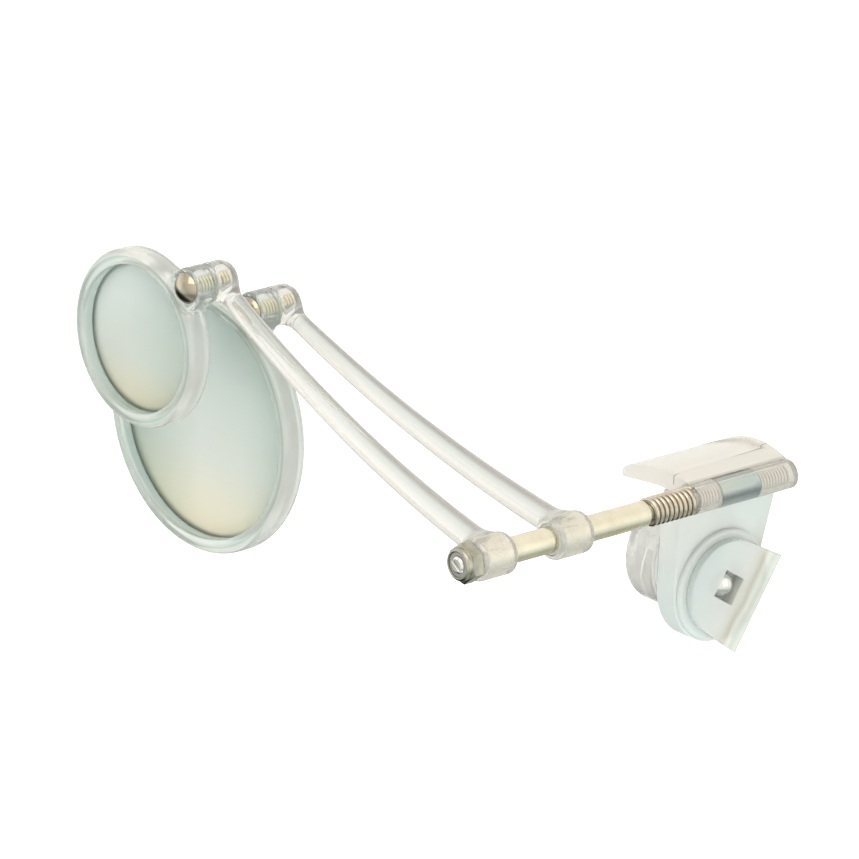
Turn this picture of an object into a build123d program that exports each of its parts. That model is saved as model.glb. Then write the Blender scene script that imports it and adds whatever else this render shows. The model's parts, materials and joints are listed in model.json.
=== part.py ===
"""Clip-on eyeglass loupe with two swinging lenses, in millimetres.

Frame: origin in the middle of the gap that grips the spectacle temple.
+Y runs back along the temple, -Y to the front, +X away from the nose and +Z up.
A shaft lies along the temple on its outer side. Its back end is the rod of a spring
hinge, on which a top jaw closes over a fixed plate, and its front end carries two arms,
each with a lens that turns on a screw. A round cam on the plate closes the gap from below.
"""
from math import acos, asin, cos, degrees, pi, radians, sin, sqrt, tan
import os

from build123d import *

# Gap that grips the temple, between the jaw above and the cam below
temple_height = 2.9
temple_reach = 4.6

# Hinge of the jaw, on the back end of the shaft
knuckle_radius = 1.6
rod_radius = 1.0
front_knuckle = 3.1
middle_knuckle = 5.7
rear_knuckle = 5.3
knuckle_gap = 0.1
rod_end_wall = 0.5
rod_stand = 1.9

# Top jaw, with heights above the rod's axis
jaw_reach = 10.85
jaw_seat = 0.1
jaw_drop = 0.15
jaw_crown = 2.4
jaw_crown_reach = 4.9
jaw_root_height = 1.55
jaw_root_reach = 0.3
jaw_rim_height = 0.9
jaw_rim_reach = 9.9
jaw_lip_drop = 0.5
jaw_lip_width = 0.5
jaw_front_corner = 0.4
jaw_rear_corner = 0.7
jaw_scoop_length = 2.6
jaw_scoop_height = 1.9
recess_start = 2.7
recess_start_height = 1.95
recess_middle_height = 1.9
recess_end = 9.7
recess_end_height = 1.05
recess_rear_wall = 0.9
recess_rear_corner = 4.5

# Shaft, with distances counted forward from the front face of the hinge
shaft_radius = 1.42
spring_room = 6.9
rear_arm_stand = 18.0
front_arm_stand = 28.8
stud_radius = 0.95
stud_slot_width = 0.3
stud_slot_depth = 0.35
stud_slot_angle = 35.0
stud_proud = 0.15
stud_chamfer = 0.2

# Closing spring round the rod, with its legs' angles counted from +X towards +Z
spring_wire = 0.28
spring_mean_radius = 1.36
spring_turns = 9
spring_bend = 0.3
spring_straight = 0.13
spring_leg = 0.9
spring_front_angle = -90.0
spring_rear_angle = -24.0
spring_hole_gap = 0.03
spring_slot_gap = 0.06
spring_slot_extra = 0.15

# Lock nut and its plastic ring
nut_across_flats = 3.9
nut_turn = 20.0
nut_height = 1.35
nut_collar_height = 0.65
nut_collar_radius = 1.8
nut_insert_radius = 1.4
nut_insert_height = 0.6
nut_insert_sunk = 0.2
nut_edge = 0.25

# Plate under the hinge, with its round bottom centred on the cam's screw
plate_thickness = 2.7
plate_bottom_radius = 6.5
plate_rear_overhang = 0.4
plate_rear_lean = 14.5
plate_lean_drop = 2.0
plate_top_corner = 1.0
plate_edge = 0.3
web_drop = 0.25
ledge_reach = 1.3
ledge_drop = 2.05
boss_radius = 6.2
boss_height = 0.6
boss_edge = 0.3

# Cam and its lever, on one screw across the plate
cam_drop = 11.5
cam_back = 6.75
cam_radius = 6.1
cam_throw = 2.49
cam_angle = 110.2
cam_thickness = 4.75
cam_face_gap = 0.15
cam_edge = 0.5
hub_radius = 2.7
hub_flat = 2.3
hub_tongue = 1.2
lever_radius = 5.3
lever_end = 5.4
lever_end_width = 11.5
lever_thickness = 0.9
lever_angle = -32.0
lever_bevel_depth = 0.5
lever_bevel_width = 1.6
lever_edge = 0.15
socket_side = 3.1
socket_depth = 1.5
cam_screw_radius = 0.75
cam_head_radius = 1.45
cam_head_height = 1.0
cam_nut_across_flats = 3.2
cam_nut_height = 1.3
cam_nut_sunk = 1.45
washer_thickness = 0.3
washer_seat_depth = 0.2
cam_washer_radius = 4.0

# Arms, both from one mould
sleeve_length = 4.7
sleeve_radius = 2.3
sleeve_edge = 0.35
liner_wall = 0.25
liner_sunk = 0.12
arm_reach = 47.0
arm_rise = 0.65
arm_tip_drop = 0.3
front_arm_sag = 1.9
rear_arm_sag = 1.5
arm_root_radius = 1.5
arm_tip_radius = 1.0
arm_spans = 8
front_arm_lift = 21.98
rear_arm_lift = 15.0

# Pivot at the end of each arm
pivot_radius = 2.15
pivot_length = 3.7
boss_length = 3.3
pivot_dome = 1.4
ear_gap = 0.3
pivot_washer_radius = 1.9
pivot_washer_thickness = 0.2
screw_radius = 0.75
screw_bite = 2.2
head_radius = 1.7
head_proud = 1.0
head_sunk = 0.35

# Rims and lenses
small_aperture = 16.15
large_aperture = 25.9
small_ear_stand = -0.39
large_ear_stand = -0.2
small_ear_angle = 45.2
large_ear_angle = 62.8
rim_width = 1.7
rim_depth = 2.8
rim_outer_edge = 0.75
rim_inner_edge = 0.35
ear_length = 2.95
ear_edge = 0.35
ear_neck = 3.4
rim_neck = 7.0
web_inset = 0.45
lens_bite = 0.4
lens_edge = 0.9
lens_set_back = 0.4
small_lens_crown = 0.7
large_lens_crown = 0.85

# Clearances
running_gap = 0.05
bush_gap = 0.03
seat_gap = 0.02
face_gap = 0.05
cut_over = 1.0

# Places worked out from the sizes
jaw_length = front_knuckle + middle_knuckle + rear_knuckle
plate_inner_x = temple_reach / 2
plate_outer_x = plate_inner_x + plate_thickness
rod_x = plate_outer_x + rod_stand
rod_z = temple_height / 2 + jaw_drop
hinge_front = -jaw_length / 2
hinge_back = jaw_length / 2
shoulder_y = hinge_front - spring_room
rod_back = hinge_back - rod_end_wall
rear_arm_y = hinge_front - rear_arm_stand
front_arm_y = hinge_front - front_arm_stand
nut_back = front_arm_y - sleeve_length / 2 - face_gap
nut_front = nut_back - nut_height - nut_collar_height
stud_front = nut_front - stud_proud
cam_y = hinge_front + cam_back
cam_z = rod_z - cam_drop
joint_stand = pivot_length / 2
rod_axis = Axis((rod_x, 0, rod_z), (0, 1, 0))

along_rod = Plane(origin=(rod_x, 0, rod_z), x_dir=(0, 1, 0), z_dir=(1, 0, 0))


def across_rod(y):
    """Plane square to the rod at y, facing back: x runs towards the nose and y up."""
    return Plane(origin=(rod_x, y, rod_z), x_dir=(-1, 0, 0), z_dir=(0, 1, 0))


def across_plate(x):
    """Plane parallel to the plate at x, facing outward, with the cam's screw at its origin."""
    return Plane(origin=(x, cam_y, cam_z), x_dir=(0, 1, 0), z_dir=(1, 0, 0))


def arm_plane(y, lift):
    """Plane of one arm: x runs from the shaft to the lens pivot, z points back."""
    turn = radians(lift)
    return Plane(origin=(rod_x, y, rod_z), x_dir=(-cos(turn), 0, sin(turn)), z_dir=(0, 1, 0))


def ear_reach(aperture, ear_stand):
    """Distance from the middle of a rim to its pivot."""
    return aperture / 2 + rim_width + pivot_radius + ear_stand


def rim_plane(y, lift, reach, ear_angle):
    """Plane through the middle of a rim: x runs to its pivot, z points back."""
    pivot = arm_plane(y, lift).from_local_coords((arm_reach, 0))
    turn = radians(ear_angle)
    toward_ear = Vector(cos(turn), 0, sin(turn))
    middle = Vector(pivot) - toward_ear * reach
    depth = -joint_stand - ear_gap / 2 - rim_depth / 2
    return Plane(origin=middle + Vector(0, depth, 0), x_dir=toward_ear, z_dir=(0, 1, 0))


def hex_radius(across_flats):
    """Circumscribed radius of a hexagon."""
    return across_flats / 2 / cos(pi / 6)


# Shaft: threaded stud, bare shaft, and the thinner rod that the hinge turns on
with BuildPart() as shaft:
    with BuildSketch(along_rod):
        with BuildLine():
            Polyline(
                (stud_front, 0),
                (stud_front, stud_radius - stud_chamfer),
                (stud_front + stud_chamfer, stud_radius),
                (nut_back + face_gap, stud_radius),
                (nut_back + face_gap, shaft_radius),
                (shoulder_y, shaft_radius),
                (shoulder_y, rod_radius),
                (rod_back - stud_chamfer, rod_radius),
                (rod_back, rod_radius - stud_chamfer),
                (rod_back, 0),
                close=True,
            )
        make_face()
    revolve(axis=rod_axis)
    # Slot for a screwdriver in the end of the stud
    with BuildSketch(across_rod(stud_front)):
        Rectangle(2 * shaft_radius, stud_slot_width, rotation=stud_slot_angle)
    extrude(amount=stud_slot_depth, mode=Mode.SUBTRACT)
    # Slot under the shoulder for the front leg of the spring
    with BuildSketch(across_rod(shoulder_y)):
        with Locations((0, -spring_mean_radius)):
            Rectangle(spring_wire + 2 * spring_slot_gap, spring_wire + 2 * spring_slot_gap)
    extrude(amount=-spring_leg - spring_slot_extra, mode=Mode.SUBTRACT)
shaft.part.label = "shaft"


# Lock nut: a hexagon with a round collar that is rolled over a plastic ring
with BuildPart() as end_nut:
    with BuildSketch(across_rod(nut_back)):
        RegularPolygon(hex_radius(nut_across_flats), 6, rotation=nut_turn)
    extrude(amount=-nut_height)
    with BuildSketch(across_rod(nut_back - nut_height)):
        Circle(nut_collar_radius)
    extrude(amount=-nut_collar_height)
    fillet(end_nut.faces().sort_by(Axis.Y)[0].edges(), nut_edge)
    with BuildSketch(across_rod(nut_back)):
        Circle(stud_radius + seat_gap)
    extrude(amount=-nut_height - nut_collar_height, mode=Mode.SUBTRACT)
    with BuildSketch(across_rod(nut_front)):
        Circle(nut_insert_radius)
    extrude(amount=nut_insert_height, mode=Mode.SUBTRACT)
end_nut.part.label = "end_nut"

with BuildPart() as nut_insert:
    with BuildSketch(across_rod(nut_front + nut_insert_sunk)):
        Circle(nut_insert_radius - seat_gap)
        Circle(stud_radius + seat_gap, mode=Mode.SUBTRACT)
    extrude(amount=nut_insert_height - nut_insert_sunk - seat_gap)
nut_insert.part.label = "nut_insert"


# Closing spring: a torsion spring, right-handed from its front leg to its rear leg
def coil_point(angle, y):
    """Point of the spring's centreline at an angle round the rod, in degrees, and at y."""
    turn = radians(angle)
    return Vector(rod_x + spring_mean_radius * cos(turn), y, rod_z + spring_mean_radius * sin(turn))


def biarc(start, start_way, end, end_way):
    """Two tangent arcs that leave start along start_way and reach end along end_way."""
    chord = end - start
    spread = 2 * (1 - start_way.dot(end_way))
    along = chord.dot(start_way + end_way)
    arm = (sqrt(along**2 + spread * chord.dot(chord)) - along) / spread
    knee = start + start_way * arm
    far_knee = end - end_way * arm
    TangentArc(start, (knee + far_knee) / 2, tangent=start_way)
    TangentArc((knee + far_knee) / 2, end, tangent=(far_knee - knee))


bend_angle = degrees(spring_bend / spring_mean_radius)
coil_start = spring_front_angle - bend_angle
coil_end = spring_rear_angle - 360 * spring_turns + bend_angle
coil_front = shoulder_y + spring_straight + spring_bend
coil_back = hinge_front - spring_straight - spring_bend
quarter_turns = round((coil_start - coil_end) / 90)
coil_slope = (coil_back - coil_front) / radians(coil_start - coil_end)
backward = Vector(0, 1, 0)


def coil_way(angle):
    """Direction of the coil at an angle."""
    turn = radians(angle)
    way = Vector(spring_mean_radius * sin(turn), coil_slope, -spring_mean_radius * cos(turn))
    return way.normalized()


coil_angles = [
    coil_start + (coil_end - coil_start) * step / quarter_turns for step in range(quarter_turns + 1)
]
coil_places = [
    coil_point(angle, coil_front + (coil_back - coil_front) * step / quarter_turns)
    for step, angle in enumerate(coil_angles)
]
front_leg_end = coil_point(spring_front_angle, shoulder_y - spring_leg)
front_leg_top = coil_point(spring_front_angle, shoulder_y + spring_straight)
rear_leg_top = coil_point(spring_rear_angle, hinge_front - spring_straight)
rear_leg_end = coil_point(spring_rear_angle, hinge_front + spring_leg)

with BuildPart() as jaw_spring:
    with BuildLine() as spring_path:
        Line(front_leg_end, front_leg_top)
        biarc(front_leg_top, backward, coil_places[0], coil_way(coil_angles[0]))
        for step in range(quarter_turns):
            biarc(
                coil_places[step],
                coil_way(coil_angles[step]),
                coil_places[step + 1],
                coil_way(coil_angles[step + 1]),
            )
        biarc(coil_places[-1], coil_way(coil_angles[-1]), rear_leg_top, backward)
        Line(rear_leg_top, rear_leg_end)
    with BuildSketch(Plane(origin=front_leg_end, z_dir=backward)):
        Circle(spring_wire / 2)
    sweep(path=spring_path.wires()[0])
jaw_spring.part.label = "jaw_spring"

# Least gap between neighbouring turns, from points a twentieth of a turn apart
spring_samples = 20 * spring_turns
spring_points = [spring_path.wires()[0].position_at(i / spring_samples) for i in range(spring_samples + 1)]
least_gap = min(
    (a - b).length - spring_wire
    for i, a in enumerate(spring_points)
    for b in spring_points[i + spring_samples // spring_turns // 2 :]
)
print("spring least gap to itself", round(least_gap, 3))


# Plate with its round boss, the middle knuckle and the ledge under the other two
plate_top = cam_drop + jaw_seat - face_gap
plate_rear = hinge_back + plate_rear_overhang - cam_y
lean_start = cam_drop - plate_lean_drop
plate_waist = plate_rear - lean_start * tan(radians(plate_rear_lean))

with BuildPart() as clip_plate:
    with BuildSketch(across_plate(plate_inner_x)) as plate_face:
        Circle(plate_bottom_radius)
        with BuildLine():
            Polyline(
                (-plate_bottom_radius, 0),
                (-plate_bottom_radius, plate_top),
                (plate_rear, plate_top),
                (plate_rear, lean_start),
                (plate_waist, 0),
                close=True,
            )
        make_face()
        fillet(plate_face.vertices().sort_by(Axis.Y)[-1:], plate_top_corner)
    extrude(amount=plate_thickness)
    chamfer(clip_plate.faces().sort_by(Axis.X)[-1].edges(), plate_edge / 2)
    # Boss that the lever turns on
    with BuildSketch(across_plate(plate_outer_x - plate_edge)):
        Circle(boss_radius)
    extrude(amount=boss_height + plate_edge)
    fillet(clip_plate.faces().sort_by(Axis.X)[-1].edges(), boss_edge)
    # Middle knuckle and its web to the plate
    with BuildSketch(across_rod(hinge_front + front_knuckle + knuckle_gap)):
        Circle(knuckle_radius)
        with BuildLine():
            Polyline(
                (0, -knuckle_radius),
                (rod_stand + plate_edge, -ledge_drop),
                (rod_stand + plate_edge, -web_drop),
                (0, -web_drop),
                close=True,
            )
        make_face()
    extrude(amount=middle_knuckle - 2 * knuckle_gap)
    # Ledge that runs under all three knuckles
    with BuildSketch(across_rod(cam_y - plate_bottom_radius + plate_edge)):
        with BuildLine():
            Polyline(
                (rod_stand - ledge_reach, -ledge_drop),
                (rod_stand + plate_edge, -ledge_drop),
                (rod_stand + plate_edge, -knuckle_radius + plate_edge),
                (rod_stand - ledge_reach, -knuckle_radius + plate_edge),
                close=True,
            )
        make_face()
    extrude(amount=jaw_length - 2 * plate_edge)
    for start, length in (
        (-cut_over, front_knuckle + knuckle_gap + cut_over),
        (front_knuckle + middle_knuckle - knuckle_gap, rear_knuckle + knuckle_gap + cut_over),
    ):
        with BuildSketch(across_rod(hinge_front + start)):
            Circle(knuckle_radius + knuckle_gap)
        extrude(amount=length, mode=Mode.SUBTRACT)
    # Bore for the rod
    with BuildSketch(across_rod(hinge_front)):
        Circle(rod_radius + seat_gap)
    extrude(amount=jaw_length, mode=Mode.SUBTRACT)
    # Bore for the cam's hub, and the seat of its spring washer
    with BuildSketch(across_plate(plate_inner_x)):
        Circle(hub_radius + running_gap)
    extrude(amount=plate_thickness + boss_height, mode=Mode.SUBTRACT)
    with BuildSketch(across_plate(plate_inner_x)):
        Circle(cam_washer_radius + knuckle_gap)
    extrude(amount=washer_seat_depth, mode=Mode.SUBTRACT)
clip_plate.part.label = "clip_plate"


# Hollow that the jaw is cut with, for the finger that opens it
def jaw_top():
    """Arc over the top of the jaw, from the front knuckle's side to the rim."""
    return ThreePointArc(
        (jaw_root_reach, jaw_root_height),
        (jaw_crown_reach, jaw_crown),
        (jaw_rim_reach, jaw_rim_height),
    )


with BuildPart() as finger_hollow:
    with BuildSketch(across_rod(hinge_front - cut_over)):
        with BuildLine():
            floor = ThreePointArc(
                (recess_start, recess_start_height),
                ((recess_start + recess_end) / 2, recess_middle_height),
                (recess_end, recess_end_height),
            )
            Polyline(
                floor @ 1,
                (recess_end, jaw_crown + cut_over),
                (recess_start, jaw_crown + cut_over),
                floor @ 0,
            )
        make_face()
    extrude(amount=jaw_length - recess_rear_wall + cut_over)
    # Its rear end rounds off on the nose side alone
    rear_corners = finger_hollow.edges().filter_by(Axis.Z).group_by(Axis.Y)[-1]
    fillet(rear_corners.sort_by(Axis.X)[0], recess_rear_corner)

# Top jaw, with the front and rear knuckles of the hinge
with BuildPart() as top_jaw:
    with BuildSketch(across_rod(hinge_front)):
        with BuildLine():
            crown = jaw_top()
            rim = ThreePointArc(
                crown @ 1,
                (jaw_reach - jaw_lip_width / 3, jaw_rim_height / 6),
                (jaw_reach, -jaw_lip_drop),
            )
            Polyline(
                rim @ 1,
                (jaw_reach - jaw_lip_width, -jaw_lip_drop),
                (rod_stand + plate_thickness + jaw_lip_width, jaw_seat),
                (jaw_root_reach, jaw_seat),
                crown @ 0,
            )
        make_face()
    extrude(amount=jaw_length)
    # Rounded corners, seen from above
    with BuildSketch(Plane((rod_x, 0, rod_z - jaw_reach))) as jaw_plan:
        with Locations((-jaw_reach / 2, 0)):
            Rectangle(jaw_reach, jaw_length)
        nose_side = jaw_plan.vertices().group_by(Axis.X)[0].sort_by(Axis.Y)
        fillet(nose_side[0], jaw_front_corner)
        fillet(jaw_plan.vertices().group_by(Axis.X)[0].sort_by(Axis.Y)[-1], jaw_rear_corner)
    extrude(amount=2 * jaw_reach, mode=Mode.INTERSECT)
    add(finger_hollow.part, mode=Mode.SUBTRACT)
    # Front end, scooped lower
    with BuildSketch(Plane(origin=(0, 0, rod_z), x_dir=(0, 1, 0), z_dir=(1, 0, 0))):
        with BuildLine():
            Polyline(
                (hinge_front - cut_over, jaw_scoop_height),
                (hinge_front, jaw_scoop_height),
                (hinge_front + jaw_scoop_length, jaw_crown),
                (hinge_front + jaw_scoop_length, jaw_crown + cut_over),
                (hinge_front - cut_over, jaw_crown + cut_over),
                close=True,
            )
        make_face()
    extrude(amount=jaw_reach, both=True, mode=Mode.SUBTRACT)
    # Knuckles, and room between them for the plate's own
    with BuildSketch(across_rod(hinge_front)):
        Circle(knuckle_radius)
    extrude(amount=jaw_length)
    with BuildSketch(across_rod(hinge_front + front_knuckle)):
        Circle(knuckle_radius + knuckle_gap)
    extrude(amount=middle_knuckle, mode=Mode.SUBTRACT)
    # Bore for the rod, closed at the back
    with BuildSketch(across_rod(hinge_front)):
        Circle(rod_radius + running_gap)
    extrude(amount=rod_back - hinge_front + face_gap, mode=Mode.SUBTRACT)
    # Hole for the rear leg of the spring
    with BuildSketch(Plane(origin=(rear_leg_end.X, hinge_front, rear_leg_end.Z), z_dir=backward)):
        Circle(spring_wire / 2 + spring_hole_gap)
    extrude(amount=spring_leg + spring_slot_extra, mode=Mode.SUBTRACT)
top_jaw.part.label = "top_jaw"


# Lever knob: a round disc that flares to a straight end, on a hub through the plate
lever_back_x = plate_outer_x + boss_height + face_gap
lever_front_x = lever_back_x + lever_thickness
cam_inner_x = plate_inner_x - cam_face_gap
cam_outer_x = cam_inner_x - cam_thickness
hub_end_x = cam_inner_x + face_gap


def lever_plane(x):
    """Plane across the plate at x, turned so that its x runs to the lever's straight end."""
    turn = radians(lever_angle)
    return Plane(origin=(x, cam_y, cam_z), x_dir=(0, cos(turn), sin(turn)), z_dir=(1, 0, 0))


lever_corner = sqrt(lever_end**2 + lever_end_width**2 / 4)
lever_tangent = asin(lever_end_width / 2 / lever_corner) + acos(lever_radius / lever_corner)
side_x = lever_radius * cos(lever_tangent)
side_y = lever_radius * sin(lever_tangent)

with BuildPart() as cam_knob:
    with BuildSketch(lever_plane(lever_back_x)):
        with BuildLine():
            ThreePointArc((side_x, side_y), (-lever_radius, 0), (side_x, -side_y))
            Polyline(
                (side_x, -side_y),
                (lever_end, -lever_end_width / 2),
                (lever_end, lever_end_width / 2),
                (side_x, side_y),
            )
        make_face()
    extrude(amount=lever_thickness)
    # Bevel behind the straight end, where a fingertip catches it
    with BuildSketch(
        Plane(
            origin=lever_plane(lever_back_x).origin,
            x_dir=lever_plane(lever_back_x).x_dir,
            z_dir=lever_plane(lever_back_x).y_dir,
        )
    ):
        with BuildLine():
            Polyline(
                (lever_end - lever_bevel_width, 0),
                (lever_end, -lever_bevel_depth),
                (lever_end + cut_over, -lever_bevel_depth),
                (lever_end + cut_over, cut_over),
                (lever_end - lever_bevel_width, cut_over),
                close=True,
            )
        make_face()
    extrude(amount=lever_end_width, both=True, mode=Mode.SUBTRACT)
    fillet(cam_knob.faces().sort_by(Axis.X)[-1].edges(), lever_edge)
    # Hub, with two flats at its end that drive the cam
    with BuildSketch(lever_plane(lever_back_x)):
        Circle(hub_radius)
    extrude(amount=hub_end_x - lever_back_x)
    with BuildSketch(lever_plane(hub_end_x)):
        with BuildLine():
            ThreePointArc(
                (-sqrt(hub_radius**2 - hub_flat**2 / 4), hub_flat / 2),
                (-hub_radius, 0),
                (-sqrt(hub_radius**2 - hub_flat**2 / 4), -hub_flat / 2),
            )
            Line(
                (-sqrt(hub_radius**2 - hub_flat**2 / 4), -hub_flat / 2),
                (sqrt(hub_radius**2 - hub_flat**2 / 4), -hub_flat / 2),
            )
            ThreePointArc(
                (sqrt(hub_radius**2 - hub_flat**2 / 4), -hub_flat / 2),
                (hub_radius, 0),
                (sqrt(hub_radius**2 - hub_flat**2 / 4), hub_flat / 2),
            )
            Line(
                (sqrt(hub_radius**2 - hub_flat**2 / 4), hub_flat / 2),
                (-sqrt(hub_radius**2 - hub_flat**2 / 4), hub_flat / 2),
            )
        make_face()
    extrude(amount=-hub_tongue)
    # Square socket with the screw's head at its bottom
    with BuildSketch(lever_plane(lever_front_x)):
        Rectangle(socket_side, socket_side)
    extrude(amount=-socket_depth, mode=Mode.SUBTRACT)
    with BuildSketch(lever_plane(lever_front_x)):
        Circle(cam_screw_radius + seat_gap)
    extrude(amount=-(lever_front_x - hub_end_x) - hub_tongue, mode=Mode.SUBTRACT)
cam_knob.part.label = "cam_knob"

# Screw through the lever's hub and the cam
cam_nut_back = cam_outer_x + cam_nut_sunk
screw_seat_x = lever_front_x - socket_depth
with BuildPart() as cam_screw:
    with BuildSketch(Plane(origin=(0, cam_y, cam_z), x_dir=(1, 0, 0), z_dir=(0, -1, 0))):
        with BuildLine():
            Polyline(
                (screw_seat_x, cam_head_radius),
                (screw_seat_x, cam_screw_radius),
                (cam_outer_x, cam_screw_radius),
                (cam_outer_x, 0),
                (screw_seat_x + cam_head_height, 0),
            )
            TangentArc(
                (screw_seat_x + cam_head_height, 0), (screw_seat_x, cam_head_radius), tangent=(0, 1)
            )
        make_face()
    revolve(axis=Axis((0, cam_y, cam_z), (1, 0, 0)))
cam_screw.part.label = "cam_screw"


# Cam: a round disc set off its screw, which lifts the temple against the jaw
cam_turn = radians(cam_angle)
with BuildPart() as support_cam:
    with BuildSketch(across_plate(cam_inner_x)):
        with Locations((cam_throw * cos(cam_turn), cam_throw * sin(cam_turn))):
            Circle(cam_radius)
    extrude(amount=-cam_thickness)
    fillet(support_cam.edges().filter_by(GeomType.CIRCLE), cam_edge)
    with BuildSketch(across_plate(cam_inner_x)):
        Circle(cam_screw_radius + seat_gap)
    extrude(amount=-cam_thickness, mode=Mode.SUBTRACT)
    with BuildSketch(lever_plane(cam_inner_x)):
        Circle(hub_radius + seat_gap)
        for side in (-1, 1):
            with Locations((0, side * (hub_flat / 2 + seat_gap + hub_radius))):
                Rectangle(2 * (hub_radius + cut_over), 2 * hub_radius, mode=Mode.SUBTRACT)
    extrude(amount=-hub_tongue, mode=Mode.SUBTRACT)
    with BuildSketch(across_plate(cam_outer_x)):
        RegularPolygon(hex_radius(cam_nut_across_flats + 2 * seat_gap), 6)
    extrude(amount=cam_nut_sunk, mode=Mode.SUBTRACT)
support_cam.part.label = "support_cam"

with BuildPart() as cam_nut:
    with BuildSketch(across_plate(cam_nut_back)):
        RegularPolygon(hex_radius(cam_nut_across_flats), 6)
        Circle(cam_screw_radius + seat_gap, mode=Mode.SUBTRACT)
    extrude(amount=-cam_nut_height)
cam_nut.part.label = "cam_nut"

# Spring washer that keeps the cam where it is turned
with BuildPart() as cam_washer:
    with BuildSketch(across_plate(cam_inner_x)):
        Circle(cam_washer_radius)
        Circle(hub_radius + running_gap, mode=Mode.SUBTRACT)
    extrude(amount=washer_thickness)
cam_washer.part.label = "cam_washer"


def make_arm(y, lift, sag):
    """Arm: a sleeve, a tapered and gently bent bar, and the barrel of the lens pivot."""
    plane = arm_plane(y, lift)
    with BuildPart() as arm:
        with BuildLine(plane) as bend:
            ThreePointArc(
                (0, arm_rise),
                (arm_reach / 2, (arm_rise - arm_tip_drop) / 2 - sag),
                (arm_reach, -arm_tip_drop),
            )
        bar = bend.edges()[0]
        for span in range(arm_spans + 1):
            share = span / arm_spans
            radius = arm_root_radius + (arm_tip_radius - arm_root_radius) * share
            with BuildSketch(Plane(origin=bar @ share, x_dir=(0, 1, 0), z_dir=bar % share)):
                Circle(radius)
        loft(ruled=True)
        with BuildSketch(plane.offset(-sleeve_length / 2)):
            Circle(sleeve_radius)
        sleeve = extrude(amount=sleeve_length)
        rims = arm.edges().filter_by(GeomType.CIRCLE).filter_by(
            lambda edge: abs(edge.radius - sleeve_radius) < seat_gap
        )
        fillet(rims, sleeve_edge)
        with BuildSketch(plane.offset(-joint_stand + ear_gap / 2)):
            with Locations((arm_reach, 0)):
                Circle(pivot_radius)
        extrude(amount=boss_length - ear_gap / 2)
        dome = arm.edges().filter_by(GeomType.CIRCLE).filter_by(
            lambda edge: abs(edge.radius - pivot_radius) < seat_gap
        )
        fillet(dome.sort_by(Axis.Y)[-1], pivot_dome)
        with BuildSketch(plane.offset(-sleeve_length / 2)):
            Circle(shaft_radius + 2 * bush_gap + liner_wall)
        extrude(amount=sleeve_length, mode=Mode.SUBTRACT)
        with BuildSketch(plane.offset(-joint_stand + ear_gap / 2)):
            with Locations((arm_reach, 0)):
                Circle(screw_radius + seat_gap)
        extrude(amount=screw_bite, mode=Mode.SUBTRACT)
    return arm


def make_liner(y):
    """Thin bush between a sleeve and the shaft."""
    length = sleeve_length - 2 * liner_sunk
    with BuildPart() as liner:
        with BuildSketch(across_rod(y - length / 2)):
            Circle(shaft_radius + bush_gap + liner_wall)
            Circle(shaft_radius + bush_gap, mode=Mode.SUBTRACT)
        extrude(amount=length)
    return liner


def make_pivot_screw(y, lift):
    """Domed screw that carries the rim's ear and bites into the arm."""
    pivot = arm_plane(y, lift).from_local_coords((arm_reach, 0))
    seat = pivot.Y - joint_stand - ear_length + head_sunk
    apex = pivot.Y - joint_stand - ear_length - head_proud
    tip = pivot.Y - joint_stand + ear_gap / 2 + screw_bite - face_gap
    rim = pivot.Y - joint_stand - ear_length
    across = Plane(origin=(pivot.X, 0, pivot.Z), x_dir=(0, 1, 0), z_dir=(1, 0, 0))
    with BuildPart() as screw:
        with BuildSketch(across):
            with BuildLine():
                Polyline(
                    (rim, head_radius),
                    (seat, head_radius),
                    (seat, screw_radius),
                    (tip, screw_radius),
                    (tip, 0),
                    (apex, 0),
                )
                TangentArc((apex, 0), (rim, head_radius), tangent=(0, 1))
            make_face()
        revolve(axis=Axis((pivot.X, 0, pivot.Z), (0, 1, 0)))
    return screw


def make_pivot_washer(y, lift):
    """Thin washer between the rim's ear and the arm."""
    with BuildPart() as washer:
        with BuildSketch(arm_plane(y, lift).offset(-joint_stand - pivot_washer_thickness / 2)):
            with Locations((arm_reach, 0)):
                Circle(pivot_washer_radius)
                Circle(screw_radius + seat_gap, mode=Mode.SUBTRACT)
        extrude(amount=pivot_washer_thickness)
    return washer


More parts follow.
